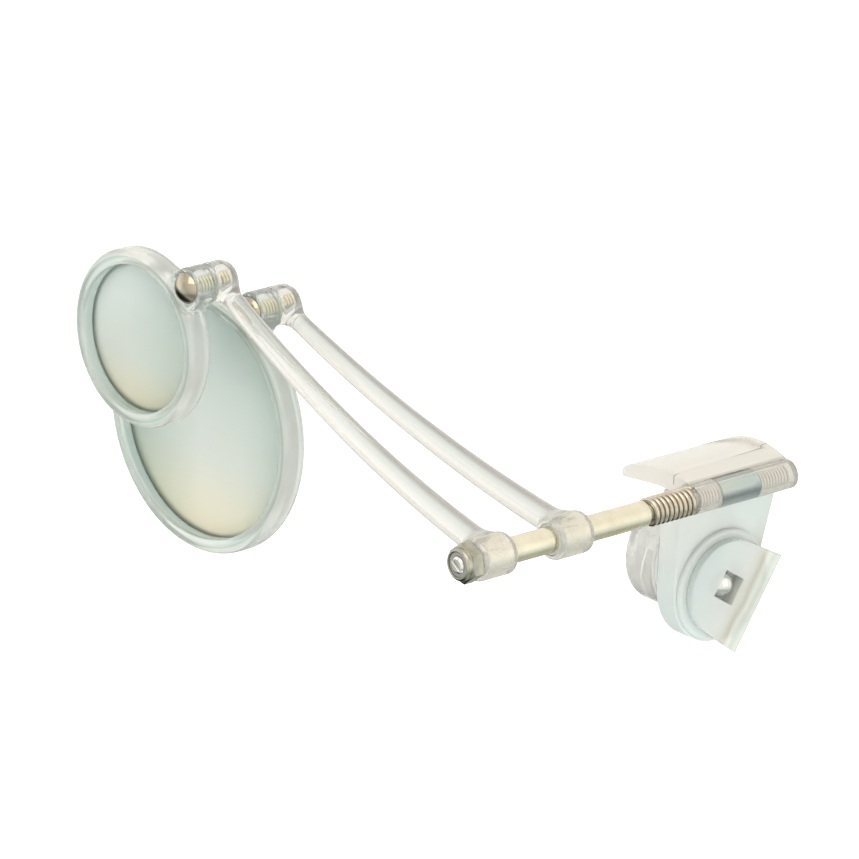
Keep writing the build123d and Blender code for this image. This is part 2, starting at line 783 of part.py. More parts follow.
def make_rim(y, lift, aperture, ear_stand, ear_angle):
    """Rounded rim with a groove for its lens, and an ear that stands just outside it."""
    reach = ear_reach(aperture, ear_stand)
    plane = rim_plane(y, lift, reach, ear_angle)
    axis = Axis(plane.origin, (0, 1, 0))
    middle = aperture / 2 + rim_width / 2
    section = Plane(origin=plane.origin, x_dir=plane.x_dir, z_dir=-plane.y_dir)
    with BuildPart() as rim:
        # Web and ear
        with BuildSketch(plane.offset(-rim_depth / 2 + web_inset)):
            with BuildLine():
                Polyline(
                    (sqrt(middle**2 - rim_neck**2 / 4), rim_neck / 2),
                    (sqrt(middle**2 - rim_neck**2 / 4), -rim_neck / 2),
                    (reach, -ear_neck / 2),
                    (reach, ear_neck / 2),
                    close=True,
                )
            make_face()
        extrude(amount=rim_depth - 2 * web_inset)
        with BuildSketch(plane.offset(rim_depth / 2)):
            with Locations((reach, 0)):
                Circle(pivot_radius)
        extrude(amount=-(ear_length - ear_gap / 2))
        front_edge = rim.edges().filter_by(GeomType.CIRCLE).sort_by(Axis.Y)[0]
        fillet(front_edge, ear_edge)
        # Rim
        with BuildSketch(section) as profile:
            with Locations((middle, 0)):
                Rectangle(rim_width, rim_depth)
            fillet(profile.vertices().group_by(Axis(plane.origin, plane.x_dir))[-1], rim_outer_edge)
            chamfer(profile.vertices().group_by(Axis(plane.origin, plane.x_dir))[0], rim_inner_edge)
        revolve(axis=axis)
        # Groove for the lens
        with BuildSketch(plane.offset(lens_set_back - lens_edge / 2 - seat_gap)):
            Circle(aperture / 2 + lens_bite + seat_gap)
        extrude(amount=lens_edge + 2 * seat_gap, mode=Mode.SUBTRACT)
        # Bore for the pivot screw and seat for its head
        with BuildSketch(plane.offset(rim_depth / 2)):
            with Locations((reach, 0)):
                Circle(screw_radius + running_gap)
        extrude(amount=-ear_length, mode=Mode.SUBTRACT)
        with BuildSketch(plane.offset(rim_depth / 2 - ear_length + ear_gap / 2)):
            with Locations((reach, 0)):
                Circle(head_radius + running_gap)
        extrude(amount=head_sunk + face_gap, mode=Mode.SUBTRACT)
    return rim


def make_lens(y, lift, aperture, ear_stand, ear_angle, crown):
    """Lens that bulges on both faces inside a flat edge."""
    plane = rim_plane(y, lift, ear_reach(aperture, ear_stand), ear_angle)
    section = Plane(origin=plane.origin, x_dir=plane.x_dir, z_dir=-plane.y_dir)
    edge = aperture / 2 + lens_bite
    clear = aperture / 2 - running_gap
    front = lens_set_back - lens_edge / 2
    back = lens_set_back + lens_edge / 2
    with BuildPart() as lens:
        with BuildSketch(section):
            with BuildLine():
                Polyline((clear, front), (edge, front), (edge, back), (clear, back))
                TangentArc((0, back + crown), (clear, back), tangent=(1, 0))
                Line((0, back + crown), (0, front - crown))
                TangentArc((0, front - crown), (clear, front), tangent=(1, 0))
            make_face()
        revolve(axis=Axis(plane.origin, (0, 1, 0)))
    return lens


pieces = {
    "shaft": shaft,
    "end_nut": end_nut,
    "nut_insert": nut_insert,
    "jaw_spring": jaw_spring,
    "clip_plate": clip_plate,
    "top_jaw": top_jaw,
    "cam_knob": cam_knob,
    "cam_screw": cam_screw,
    "cam_nut": cam_nut,
    "cam_washer": cam_washer,
    "support_cam": support_cam,
}
for place, size, y, lift, sag, aperture, ear_stand, ear_angle, crown in (
    ("front", "small", front_arm_y, front_arm_lift, front_arm_sag,
     small_aperture, small_ear_stand, small_ear_angle, small_lens_crown),
    ("rear", "large", rear_arm_y, rear_arm_lift, rear_arm_sag,
     large_aperture, large_ear_stand, large_ear_angle, large_lens_crown),
):
    pieces[place + "_liner"] = make_liner(y)
    pieces[place + "_arm"] = make_arm(y, lift, sag)
    pieces[size + "_pivot_screw"] = make_pivot_screw(y, lift)
    pieces[size + "_pivot_washer"] = make_pivot_washer(y, lift)
    pieces[size + "_lens_rim"] = make_rim(y, lift, aperture, ear_stand, ear_angle)
    pieces[size + "_lens"] = make_lens(y, lift, aperture, ear_stand, ear_angle, crown)

os.makedirs("parts", exist_ok=True)
for name, piece in pieces.items():
    piece.part.label = name
    export_step(piece.part, f"parts/{name}.step")
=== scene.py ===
"""Clip-on eyeglass loupe: finishes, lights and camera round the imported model."""
import json
from math import asin, atan2, cos, pi, radians, sin, sqrt

import bpy
import numpy as np
from mathutils import Matrix, Vector


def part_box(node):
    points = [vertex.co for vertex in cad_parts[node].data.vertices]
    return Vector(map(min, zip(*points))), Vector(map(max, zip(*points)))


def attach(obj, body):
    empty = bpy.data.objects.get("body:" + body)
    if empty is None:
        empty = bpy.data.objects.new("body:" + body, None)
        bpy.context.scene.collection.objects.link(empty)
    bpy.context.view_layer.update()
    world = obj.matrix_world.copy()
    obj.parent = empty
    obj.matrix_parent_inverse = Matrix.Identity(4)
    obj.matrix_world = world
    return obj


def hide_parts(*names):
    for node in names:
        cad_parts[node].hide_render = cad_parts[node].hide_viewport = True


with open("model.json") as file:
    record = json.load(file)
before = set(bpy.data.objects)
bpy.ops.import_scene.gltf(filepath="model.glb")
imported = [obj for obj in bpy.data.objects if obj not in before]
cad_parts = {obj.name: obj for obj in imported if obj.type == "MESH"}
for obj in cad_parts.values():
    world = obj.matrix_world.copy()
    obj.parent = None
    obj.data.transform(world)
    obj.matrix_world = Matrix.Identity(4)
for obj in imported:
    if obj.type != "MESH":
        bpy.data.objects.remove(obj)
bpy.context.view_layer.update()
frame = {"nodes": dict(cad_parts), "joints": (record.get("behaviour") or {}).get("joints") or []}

MM = 0.001
JOINTS = {joint["name"]: joint for joint in frame["joints"]}


def box_mm(node):
    """Lowest and highest corner of a CAD node, in millimetres."""
    low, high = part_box(node)
    return np.array(low) / MM, np.array(high) / MM


def joint_mm(name):
    """Place of a joint, in millimetres."""
    return np.array(JOINTS[name]["pos_m"]) / MM


# Places and sizes that follow the frame, in millimetres
rod = joint_mm("jaw_open")
jaw_low, jaw_high = box_mm("top_jaw")
plate_low, plate_high = box_mm("clip_plate")
shaft_low, shaft_high = box_mm("shaft")
front_pivot = joint_mm("small_lens_turn")
rear_pivot = joint_mm("large_lens_turn")
front_arm_y = joint_mm("front_swing")[1]
rear_arm_y = joint_mm("rear_swing")[1]
cam_axis = joint_mm("cam_turn")
shaft_radius = (shaft_high[0] - shaft_low[0]) / 2
hinge_front, hinge_back = jaw_low[1], jaw_high[1]

# Camera, fitted to the photograph: it looks at the clip from ahead and outside
camera_azimuth = radians(47.1)
camera_height = radians(20.3)
camera_roll = radians(2.9)
camera_distance = 1200.0
pixels_per_mm = 9.50
image_side = 859
hinge_pixel = (691.0, 500.3)
sensor_width = 36.0


def camera_axes():
    """Image right, image down and the way back to the camera, as unit vectors."""
    back = np.array(
        [
            sin(camera_azimuth) * cos(camera_height),
            -cos(camera_azimuth) * cos(camera_height),
            sin(camera_height),
        ]
    )
    right = np.array([cos(camera_azimuth), sin(camera_azimuth), 0.0])
    up = np.cross(back, right)
    image_right = cos(camera_roll) * right + sin(camera_roll) * up
    image_up = -sin(camera_roll) * right + cos(camera_roll) * up
    return image_right, -image_up, back


def make_camera():
    """Camera whose frame holds the hinge's front face at its pixel in the photograph."""
    right, down, back = camera_axes()
    middle = image_side / 2
    shift_right = (hinge_pixel[0] - middle) / pixels_per_mm
    shift_down = (hinge_pixel[1] - middle) / pixels_per_mm
    hinge = np.array([rod[0], hinge_front, rod[2]])
    place = hinge + camera_distance * back - shift_right * right - shift_down * down
    data = bpy.data.cameras.new("camera")
    data.sensor_fit = "HORIZONTAL"
    data.sensor_width = sensor_width
    data.lens = sensor_width * camera_distance * pixels_per_mm / image_side
    data.clip_start = 0.01
    data.clip_end = 20.0
    camera = bpy.data.objects.new("camera", data)
    bpy.context.scene.collection.objects.link(camera)
    turn = Matrix((right, -down, back)).transposed().to_4x4()
    camera.matrix_world = Matrix.Translation(Vector(place * MM)) @ turn
    bpy.context.scene.camera = camera
    return camera


camera = make_camera()


# Implicit surfaces: a field is negative inside, and every length is in millimetres
def smooth_union(a, b, blend):
    """Union of two fields with a fillet of about that size where they meet."""
    mix = np.clip(0.5 + 0.5 * (b - a) / blend, 0.0, 1.0)
    return b + (a - b) * mix - blend * mix * (1.0 - mix)


def rounded_box_2d(u, v, half_u, half_v, edge):
    """Distance to a rectangle with rounded corners, from the distances off its middle."""
    qu = np.abs(u) - half_u + edge
    qv = np.abs(v) - half_v + edge
    outside = np.hypot(np.maximum(qu, 0.0), np.maximum(qv, 0.0))
    return outside + np.minimum(np.maximum(qu, qv), 0.0) - edge


def barrel(p, middle, axis, radius, low, high, edge_low, edge_high):
    """Cylinder along an axis, with its own rounding at each end."""
    others = [i for i in range(3) if i != axis]
    out = np.hypot(p[..., others[0]] - middle[others[0]], p[..., others[1]] - middle[others[1]])
    along = p[..., axis]
    centre = (low + high) / 2
    half = (high - low) / 2
    first = rounded_box_2d(out, along - centre, radius, half, edge_low)
    second = rounded_box_2d(out, along - centre, radius, half, edge_high)
    return np.where(along < centre, first, second)


def surface(name, field, low, high, cell, slides=3):
    """Mesh of a field's zero surface: one point in each cell it crosses, slid onto the surface."""
    axes = [np.arange(low[i] - 2 * cell, high[i] + 3 * cell, cell) for i in range(3)]
    grid = np.stack(np.meshgrid(*axes, indexing="ij"), axis=-1)
    value = field(grid)
    inside = value < 0
    total = np.zeros(tuple(n - 1 for n in value.shape) + (3,))
    count = np.zeros(tuple(n - 1 for n in value.shape))
    shape = value.shape
    for axis in range(3):
        step = [slice(None)] * 3
        step[axis] = slice(0, shape[axis] - 1)
        ahead = [slice(None)] * 3
        ahead[axis] = slice(1, shape[axis])
        a, b = value[tuple(step)], value[tuple(ahead)]
        cross = inside[tuple(step)] != inside[tuple(ahead)]
        part = np.where(cross, a / np.where(cross, a - b, 1.0), 0.0)
        point = grid[tuple(step)].copy()
        point[..., axis] += part * cell
        others = [i for i in range(3) if i != axis]
        for da in (0, 1):
            for db in (0, 1):
                pick = [slice(None)] * 3
                pick[others[0]] = slice(da, da + shape[others[0]] - 1)
                pick[others[1]] = slice(db, db + shape[others[1]] - 1)
                chosen = cross[tuple(pick)]
                total += np.where(chosen[..., None], point[tuple(pick)], 0.0)
                count += chosen
    used = count > 0
    index = np.full(used.shape, -1, dtype=np.int64)
    index[used] = np.arange(used.sum())
    points = total[used] / count[used][:, None]
    faces = []
    for axis in range(3):
        step = [slice(1, n - 1) for n in shape]
        step[axis] = slice(0, shape[axis] - 1)
        ahead = list(step)
        ahead[axis] = slice(1, shape[axis])
        a, b = inside[tuple(step)], inside[tuple(ahead)]
        where = np.argwhere(a != b)
        flip = a[a != b]
        offset = np.array([1, 1, 1])
        offset[axis] = 0
        where = where + offset
        u, w = (axis + 1) % 3, (axis + 2) % 3
        corners = []
        for du, dw in ((-1, -1), (0, -1), (0, 0), (-1, 0)):
            at = where.copy()
            at[:, u] += du
            at[:, w] += dw
            corners.append(index[at[:, 0], at[:, 1], at[:, 2]])
        quad = np.stack(corners, axis=1)
        quad[~flip] = quad[~flip][:, ::-1]
        faces.append(quad)
    faces = np.concatenate(faces)
    probe = cell * 0.05
    for _ in range(slides):
        here = field(points)
        slope = np.stack(
            [
                (field(points + np.eye(3)[i] * probe) - field(points - np.eye(3)[i] * probe))
                / (2 * probe)
                for i in range(3)
            ],
            axis=-1,
        )
        size = np.maximum((slope**2).sum(-1), 0.25)
        move = -(here / size)[:, None] * slope
        reach = np.linalg.norm(move, axis=-1, keepdims=True)
        points += move * np.minimum(1.0, cell * 0.5 / np.maximum(reach, 1e-9))
    mesh = bpy.data.meshes.new(name)
    mesh.from_pydata((points * MM).tolist(), [], faces.tolist())
    mesh.validate()
    mesh.shade_smooth()
    made = bpy.data.objects.new(name, mesh)
    bpy.context.scene.collection.objects.link(made)
    return made


def placed(made, origin, x_dir, y_dir, z_dir):
    """Moves a mesh from its own axes to the shared frame, leaving its object at the origin."""
    turn = Matrix((x_dir, y_dir, z_dir)).transposed().to_4x4()
    made.data.transform(Matrix.Translation(Vector(np.array(origin) * MM)) @ turn)
    return made


def grid_mesh(name, rings, closed_ends=True):
    """Tube mesh from rings of points, each ring closed, with flat fans at the ends."""
    rings = [np.asarray(ring) for ring in rings]
    sides = len(rings[0])
    points = np.concatenate(rings)
    faces = []
    for i in range(len(rings) - 1):
        for j in range(sides):
            k = (j + 1) % sides
            faces.append((i * sides + j, i * sides + k, (i + 1) * sides + k, (i + 1) * sides + j))
    points = points.tolist()
    if closed_ends:
        for base, order in ((0, -1), ((len(rings) - 1) * sides, 1)):
            points.append(np.mean(rings[0 if base == 0 else -1], axis=0).tolist())
            for j in range(sides):
                pair = (base + j, base + (j + 1) % sides)
                faces.append((pair[0], pair[1], len(points) - 1)[::order])
    mesh = bpy.data.meshes.new(name)
    mesh.from_pydata([tuple(np.array(p) * MM) for p in points], [], faces)
    mesh.validate()
    mesh.shade_smooth()
    made = bpy.data.objects.new(name, mesh)
    bpy.context.scene.collection.objects.link(made)
    return made


def lathe(name, outline, middle, sides=96, axis=1, hard=35.0):
    """Solid of revolution about an axis through middle, from (along, radius) points."""
    others = [i for i in range(3) if i != axis]
    rings = []
    for along, radius in outline:
        ring = np.zeros((sides, 3))
        angles = np.arange(sides) * 2 * pi / sides
        ring[:, axis] = along
        ring[:, others[0]] = middle[others[0]] + radius * np.cos(angles)
        ring[:, others[1]] = middle[others[1]] + radius * np.sin(angles)
        rings.append(ring)
    made = grid_mesh(name, rings)
    tidy_mesh(made, hard)
    return made


def tube_ring(name, outline, middle, sides=96, axis=1, hard=35.0):
    """Ring of revolution: the (along, radius) outline closes on itself."""
    others = [i for i in range(3) if i != axis]
    points, faces = [], []
    count = len(outline)
    for along, radius in outline:
        for j in range(sides):
            angle = j * 2 * pi / sides
            place = [0.0, 0.0, 0.0]
            place[axis] = along
            place[others[0]] = middle[others[0]] + radius * cos(angle)
            place[others[1]] = middle[others[1]] + radius * sin(angle)
            points.append(tuple(c * MM for c in place))
    for i in range(count):
        for j in range(sides):
            n, k = (i + 1) % count, (j + 1) % sides
            faces.append((i * sides + j, i * sides + k, n * sides + k, n * sides + j))
    mesh = bpy.data.meshes.new(name)
    mesh.from_pydata(points, [], faces)
    mesh.shade_smooth()
    made = bpy.data.objects.new(name, mesh)
    bpy.context.scene.collection.objects.link(made)
    tidy_mesh(made, hard)
    return made


def tidy_mesh(made, hard):
    """Outward normals, with edges sharper than hard degrees kept crisp."""
    import bmesh

    work = bmesh.new()
    work.from_mesh(made.data)
    bmesh.ops.remove_doubles(work, verts=work.verts, dist=1e-7)
    bmesh.ops.dissolve_degenerate(work, edges=work.edges, dist=1e-8)
    bmesh.ops.recalc_face_normals(work, faces=work.faces)
    for edge in work.edges:
        if len(edge.link_faces) == 2 and edge.calc_face_angle(0.0) > radians(hard):
            edge.smooth = False
    work.to_mesh(made.data)
    work.free()


def thread(name, middle, y_start, y_end, crest, root, pitch, sides=40, steps=8):
    """Shank with a real helical thread about an axis along Y."""
    rings = []
    turns = (y_end - y_start) / pitch
    for i in range(int(turns * steps) + 1):
        y = y_start + (y_end - y_start) * i / int(turns * steps)
        ring = np.zeros((sides, 3))
        for j in range(sides):
            angle = 2 * pi * j / sides
            phase = (y / pitch + j / sides) % 1.0
            height = 1.0 - abs(2.0 * phase - 1.0)
            radius = root + (crest - root) * min(1.0, 1.6 * height)
            ring[j] = (middle[0] + radius * cos(angle), y, middle[2] + radius * sin(angle))
        rings.append(ring)
    made = grid_mesh(name, rings)
    tidy_mesh(made, 60.0)
    return made


# Sizes and places that shapes and looks share, in millimetres, with turns in degrees
arm_rise = 0.65
arm_tip_drop = 0.3
front_arm_sag = 1.9
rear_arm_sag = 1.5
arm_root_radius = 1.5
arm_tip_radius = 1.0
sleeve_radius = 2.3
bush_radius = 1.73
bush_depth = 0.95
pivot_radius = 2.15
screw_radius = 0.75
thread_crest = 0.9
thread_root = 0.66
screw_pitch = 0.42
screw_bite = 2.2
joint_stand = 1.85
boss_back = 1.45
ear_gap = 0.3
rim_width = 1.7
rim_depth = 2.8
lens_edge = 0.9
lens_set_back = 0.4
lens_bite = 0.4
lens_shade_width = 0.45
crown_margin = 0.45
edge_break = 0.03
cell = 0.17
rim_cell = 0.12
groove_gap = 0.08
sleeve_half_length = 2.35
stud_radius = 0.95
stud_chamfer = 0.2
stud_tip_length = 1.2
stud_slot_half = 0.15
stud_slot_depth = 0.35
stud_slot_turn = radians(145.0)
tip_cell = 0.06
shoulder_y = hinge_front - 6.9
rod_radius = 1.0
thread_pitch = 0.42
thread_depth = 0.16
threaded_stretches = (
    (hinge_front + 0.1, hinge_front + 3.2),
    (hinge_front + 8.8, hinge_back - 0.8),
)
nut_collar_height = 0.65
nut_collar_radius = 1.8
nut_half_flats = 1.95
nut_turn = 10.0
nut_ring_radius = 1.4
nut_ring_depth = 0.6
nut_cell = 0.075
cam_head_radius = 1.45
cam_head_height = 1.0
cam_dome_height = 1.36
sleeve_rounding = (0.7, 0.5)
ear_rounding = (0.12, 1.38)
arm_melt = 1.1
rim_melt = 0.9
web_melt = 1.0
web_root_half = 3.5
web_tip_half = 1.7
rim_rounding = (0.78, 0.4)
rim_ear_rounding = (0.3, 0.12)
web_inset = 0.42
web_corner = 0.45
arm_screw_room = 0.02
rim_screw_room = 0.05
head_rise = 1.0
nut_chamfer_slope = 1.6
nut_chamfer_start = 0.05
nut_chamfer_scale = 0.53
nut_collar_rounding = 0.42
nut_melt = 0.12
spring_wire = 0.48
spring_mean = 1.36
spring_leg = 0.9
spring_leg_radius = 0.07
spring_bend = 0.42
spring_turns = 8.82
spring_step = 0.05
spring_sides = 14
lever_angle = -32.0
lever_reach = 5.4
knuckle_band_half = 1.9
knuckle_band_fade = (1.95, 2.1)
knuckle_clear = (1.65, 2.0)
ear_clear = (2.2, 3.2)
# Place of the painted shadow line across the jaw's top
ledge_shadow_slant = 0.046
ledge_shadow_x = 3.8
ledge_shadow_depth = 1.5


# Materials, made of nodes
white = (1.0, 1.0, 1.0)


def material(name):
    """New node material, with its tree, shader and object coordinates."""
    made = bpy.data.materials.new(name)
    made.use_nodes = True
    tree = made.node_tree
    shader = tree.nodes["Principled BSDF"]
    where = tree.nodes.new("ShaderNodeTexCoord")
    return made, tree, shader, where.outputs["Object"]


def noise(tree, where, scale, detail=4.0, stretch=(1, 1, 1)):
    """Noise node over the object's own coordinates, stretched along its axes."""
    mapping = tree.nodes.new("ShaderNodeMapping")
    mapping.inputs["Scale"].default_value = stretch
    tree.links.new(where, mapping.inputs["Vector"])
    made = tree.nodes.new("ShaderNodeTexNoise")
    made.inputs["Scale"].default_value = scale
    made.inputs["Detail"].default_value = detail
    tree.links.new(mapping.outputs["Vector"], made.inputs["Vector"])
    return made.outputs["Fac"]


def ramp(tree, value, stops):
    """Colour ramp over a value, from (place, colour) stops."""
    made = tree.nodes.new("ShaderNodeValToRGB")
    made.color_ramp.elements[0].position = stops[0][0]
    made.color_ramp.elements[0].color = (*stops[0][1], 1.0)
    made.color_ramp.elements[1].position = stops[-1][0]
    made.color_ramp.elements[1].color = (*stops[-1][1], 1.0)
    for place, colour in stops[1:-1]:
        made.color_ramp.elements.new(place).color = (*colour, 1.0)
    tree.links.new(value, made.inputs["Fac"])
    return made.outputs["Color"]


def mapped(tree, value, start, end, low=0.0, high=1.0):
    """Value mapped, and held, from start..end to low..high."""
    made = tree.nodes.new("ShaderNodeMapRange")
    made.inputs["From Min"].default_value = start
    made.inputs["From Max"].default_value = end
    made.inputs["To Min"].default_value = low
    made.inputs["To Max"].default_value = high
    tree.links.new(value, made.inputs["Value"])
    return made.outputs["Result"]


def spread(tree, value, low, high):
    """Value mapped from 0..1 to low..high."""
    return mapped(tree, value, 0.0, 1.0, low, high)


def axis_distance(tree, where, middle):
    """Distance, in metres, from an axis along Y through middle."""
    axis = tree.nodes.new("ShaderNodeVectorMath")
    axis.operation = "SUBTRACT"
    axis.inputs[1].default_value = (middle[0] * MM, 0.0, middle[2] * MM)
    tree.links.new(where, axis.inputs[0])
    flat = tree.nodes.new("ShaderNodeVectorMath")
    flat.operation = "MULTIPLY"
    flat.inputs[1].default_value = (1.0, 0.0, 1.0)
    tree.links.new(axis.outputs["Vector"], flat.inputs[0])
    out = tree.nodes.new("ShaderNodeVectorMath")
    out.operation = "LENGTH"
    tree.links.new(flat.outputs["Vector"], out.inputs[0])
    return out.outputs["Value"]


def along_way(tree, where, middle, way):
    """Distance, in metres, from middle along a direction."""
    off = tree.nodes.new("ShaderNodeVectorMath")
    off.operation = "SUBTRACT"
    off.inputs[1].default_value = tuple(np.array(middle) * MM)
    tree.links.new(where, off.inputs[0])
    made = tree.nodes.new("ShaderNodeVectorMath")
    made.operation = "DOT_PRODUCT"
    made.inputs[1].default_value = way
    tree.links.new(off.outputs["Vector"], made.inputs[0])
    return made.outputs["Value"]


def parts_of(made):
    """A material's tree, its shader and its object coordinates."""
    tree = made.node_tree
    return tree, tree.nodes["Principled BSDF"], tree.nodes["Texture Coordinate"].outputs["Object"]


def mix_in(made, colour, weight=None, mode="MULTIPLY"):
    """Mixes a colour, given as a socket or a value, into a material's own."""
    tree, shader, _ = parts_of(made)
    socket = shader.inputs["Base Color"]
    base = socket.links[0].from_socket
    mixed = tree.nodes.new("ShaderNodeMix")
    mixed.data_type = "RGBA"
    mixed.blend_type = mode
    mixed.inputs["Factor"].default_value = 1.0
    if weight:
        tree.links.new(weight, mixed.inputs["Factor"])
    tree.links.new(base, mixed.inputs["A"])
    if isinstance(colour, tuple):
        mixed.inputs["B"].default_value = (*colour, 1.0)
    else:
        tree.links.new(colour, mixed.inputs["B"])
    tree.links.new(mixed.outputs["Result"], socket)
    return made


def shade(made, value, stops, weight=None):
    """Multiplies a material's own colour by a ramp over a value."""
    return mix_in(made, ramp(made.node_tree, value, stops), weight)


def bump(tree, shader, value, strength, depth):
    """Bump from a value, depth in metres."""
    made = tree.nodes.new("ShaderNodeBump")
    made.inputs["Strength"].default_value = strength
    made.inputs["Distance"].default_value = depth
    tree.links.new(value, made.inputs["Height"])
    tree.links.new(made.outputs["Normal"], shader.inputs["Normal"])


def moulded_plastic(name, pale, tinted, clear, rough, coat=0.5, cloud=160.0):
    """Clear or milky moulded plastic under a glossy skin, with faint clouds of tint and flow."""
    made, tree, shader, where = material(name)
    clouds = noise(tree, where, cloud, 2.0)
    tree.links.new(ramp(tree, clouds, [(0.3, tinted), (0.7, pale)]), shader.inputs["Base Color"])
    tree.links.new(spread(tree, clouds, rough * 0.8, rough * 1.2), shader.inputs["Roughness"])
    shader.inputs["IOR"].default_value = 1.49
    shader.inputs["Transmission Weight"].default_value = clear
    shader.inputs["Coat Weight"].default_value = coat
    shader.inputs["Coat Roughness"].default_value = 0.04
    return made


def metal(name, light, dark, rough, scale, stretch=(1, 1, 1), grain=0.25, depth=0.00001):
    """Bare or plated metal, with tint that drifts and a fine grain along one way."""
    made, tree, shader, where = material(name)
    drift = noise(tree, where, scale, 6.0, stretch)
    tree.links.new(ramp(tree, drift, [(0.3, dark), (0.7, light)]), shader.inputs["Base Color"])
    fine = noise(tree, where, scale * 6, 8.0, stretch)
    tree.links.new(spread(tree, fine, rough * 0.6, rough * 1.5), shader.inputs["Roughness"])
    shader.inputs["Metallic"].default_value = 1.0
    bump(tree, shader, fine, grain, depth)
    return made


cam_plastic = moulded_plastic("cam_plastic", (0.99, 0.99, 0.975), (0.95, 0.975, 0.965), 0.6, 0.04)
lever_tints = (0.95, 0.975, 0.955), (0.90, 0.945, 0.935)
lever_plastic = moulded_plastic("lever_plastic", *lever_tints, 0.5, 0.06)
nylon = moulded_plastic("nylon", (0.97, 0.97, 0.94), (0.93, 0.95, 0.92), 0.4, 0.25)
spring_metal = metal("spring_wire", (0.80, 0.72, 0.58), (0.55, 0.50, 0.42), 0.2, 900.0)
nut_metal = metal("nut_plating", (0.60, 0.57, 0.47), (0.36, 0.35, 0.29), 0.24, 700.0)
stud_metal = metal("bright_stud", (0.95, 0.93, 0.88), (0.80, 0.79, 0.75), 0.12, 600.0)
dome_metal = metal("bright_dome", (0.93, 0.93, 0.90), (0.84, 0.85, 0.83), 0.14, 260.0)
# Nut insert: dark grey that is painted shade of the nut's recess
insert_painted_shade = moulded_plastic("dark_nylon", (0.34, 0.35, 0.34), (0.24, 0.26, 0.26), 0.0, 0.35, 0.1)


def thread_look(name, crest_tint, painted_groove_shade, middle, root, crest):
    """Threaded metal about an axis along Y: bright on its crests, with painted shade darkening it
    down its grooves.
    """
    made, tree, shader, where = material(name)
    out = axis_distance(tree, where, middle)
    share = mapped(tree, out, root * MM, crest * MM)
    tint = ramp(tree, share, [(0.15, painted_groove_shade), (0.8, crest_tint)])
    tree.links.new(tint, shader.inputs["Base Color"])
    fine = noise(tree, where, 2400.0, 4.0)
    tree.links.new(spread(tree, fine, 0.12, 0.3), shader.inputs["Roughness"])
    shader.inputs["Metallic"].default_value = 1.0
    return made


def head_look(name, middle, radius):
    """Polished screw head, with a painted highlight towards the top and painted shade down one
    side.
    """
    made, tree, shader, where = material(name)
    side = along_way(tree, where, middle, (0.8, 0.0, 0.6))
    share = mapped(tree, side, -radius * MM, radius * MM)
    # Painted shade dark down one side of the head, with a painted highlight band across it
    painted_shade_and_highlight = [
        (0.0, (0.10, 0.09, 0.07)),
        (0.35, (0.22, 0.19, 0.15)),
        (0.55, (0.62, 0.56, 0.45)),
        (0.75, (0.40, 0.36, 0.28)),
        (1.0, (0.62, 0.56, 0.42)),
    ]
    tree.links.new(ramp(tree, share, painted_shade_and_highlight), shader.inputs["Base Color"])
    fine = noise(tree, where, 1800.0, 4.0)
    tree.links.new(spread(tree, fine, 0.04, 0.09), shader.inputs["Roughness"])
    shader.inputs["Metallic"].default_value = 1.0
    return made


def shaft_look():
    """Gold-toned plating with fine pits."""
    made, tree, shader, where = material("plated_shaft")
    drift = noise(tree, where, 420.0, 5.0)
    gold = ramp(tree, drift, [(0.35, (0.80, 0.75, 0.58)), (0.65, (0.90, 0.85, 0.69))])
    tree.links.new(gold, shader.inputs["Base Color"])
    pits = noise(tree, where, 2600.0, 6.0)
    tree.links.new(spread(tree, pits, 0.16, 0.34), shader.inputs["Roughness"])
    shader.inputs["Metallic"].default_value = 1.0
    bump(tree, shader, pits, 0.2, 0.00001)
    return made


def clear_round(made, middle, near_axis, clear, rough, inner=0.8):
    """Lets a milky moulding turn clear close to an axis along Y."""
    tree, shader, where = parts_of(made)
    near, far = np.array(near_axis) * MM
    out = axis_distance(tree, where, middle)
    for socket, inside, outer in (
        ("Transmission Weight", inner, clear),
        ("Roughness", 0.04, rough),
    ):
        tree.links.new(mapped(tree, out, near, far, inside, outer), shader.inputs[socket])
    return made


def shade_knuckle(made):
    """Grey band low on the plate's own knuckle, where the rod's shadow side shows through."""
    tree, _, where = parts_of(made)
    above = along_way(tree, where, rod, (0.0, 0.0, 1.0))
    height = mapped(tree, above, -knuckle_band_half * MM, knuckle_band_half * MM)
    stops = [
        (0.0, (0.9, 0.92, 0.92)),
        (0.2, (0.72, 0.75, 0.76)),
        (0.3, (0.46, 0.50, 0.52)),
        (0.5, (0.50, 0.54, 0.56)),
        (0.62, (1.0, 1.0, 1.0)),
    ]
    start, end = np.array(knuckle_band_fade) * MM
    near = mapped(tree, axis_distance(tree, where, rod), start, end, 1.0, 0.0)
    return shade(made, height, stops, near)


def shade_rim(made, lens):
    """Painted bands of light and shade across a rim: a pale outer edge, and grey steps towards the
    lens.
    """
    tree, _, where = parts_of(made)
    low, high = box_mm(lens)
    out = axis_distance(tree, where, (low + high) / 2)
    aperture = (high[2] - low[2]) / 2 - lens_bite
    across = mapped(tree, out, aperture * MM, (aperture + rim_width) * MM)
    stops = [
        (0.0, (0.66, 0.75, 0.71)),
        (0.12, (0.95, 0.98, 0.97)),
        (0.28, (1.0, 1.0, 1.0)),
        (0.42, (0.80, 0.88, 0.85)),
        (0.54, (0.66, 0.74, 0.70)),
        (0.62, (0.96, 0.97, 0.96)),
        (1.0, (1.0, 1.0, 1.0)),
    ]
    return shade(made, across, stops)


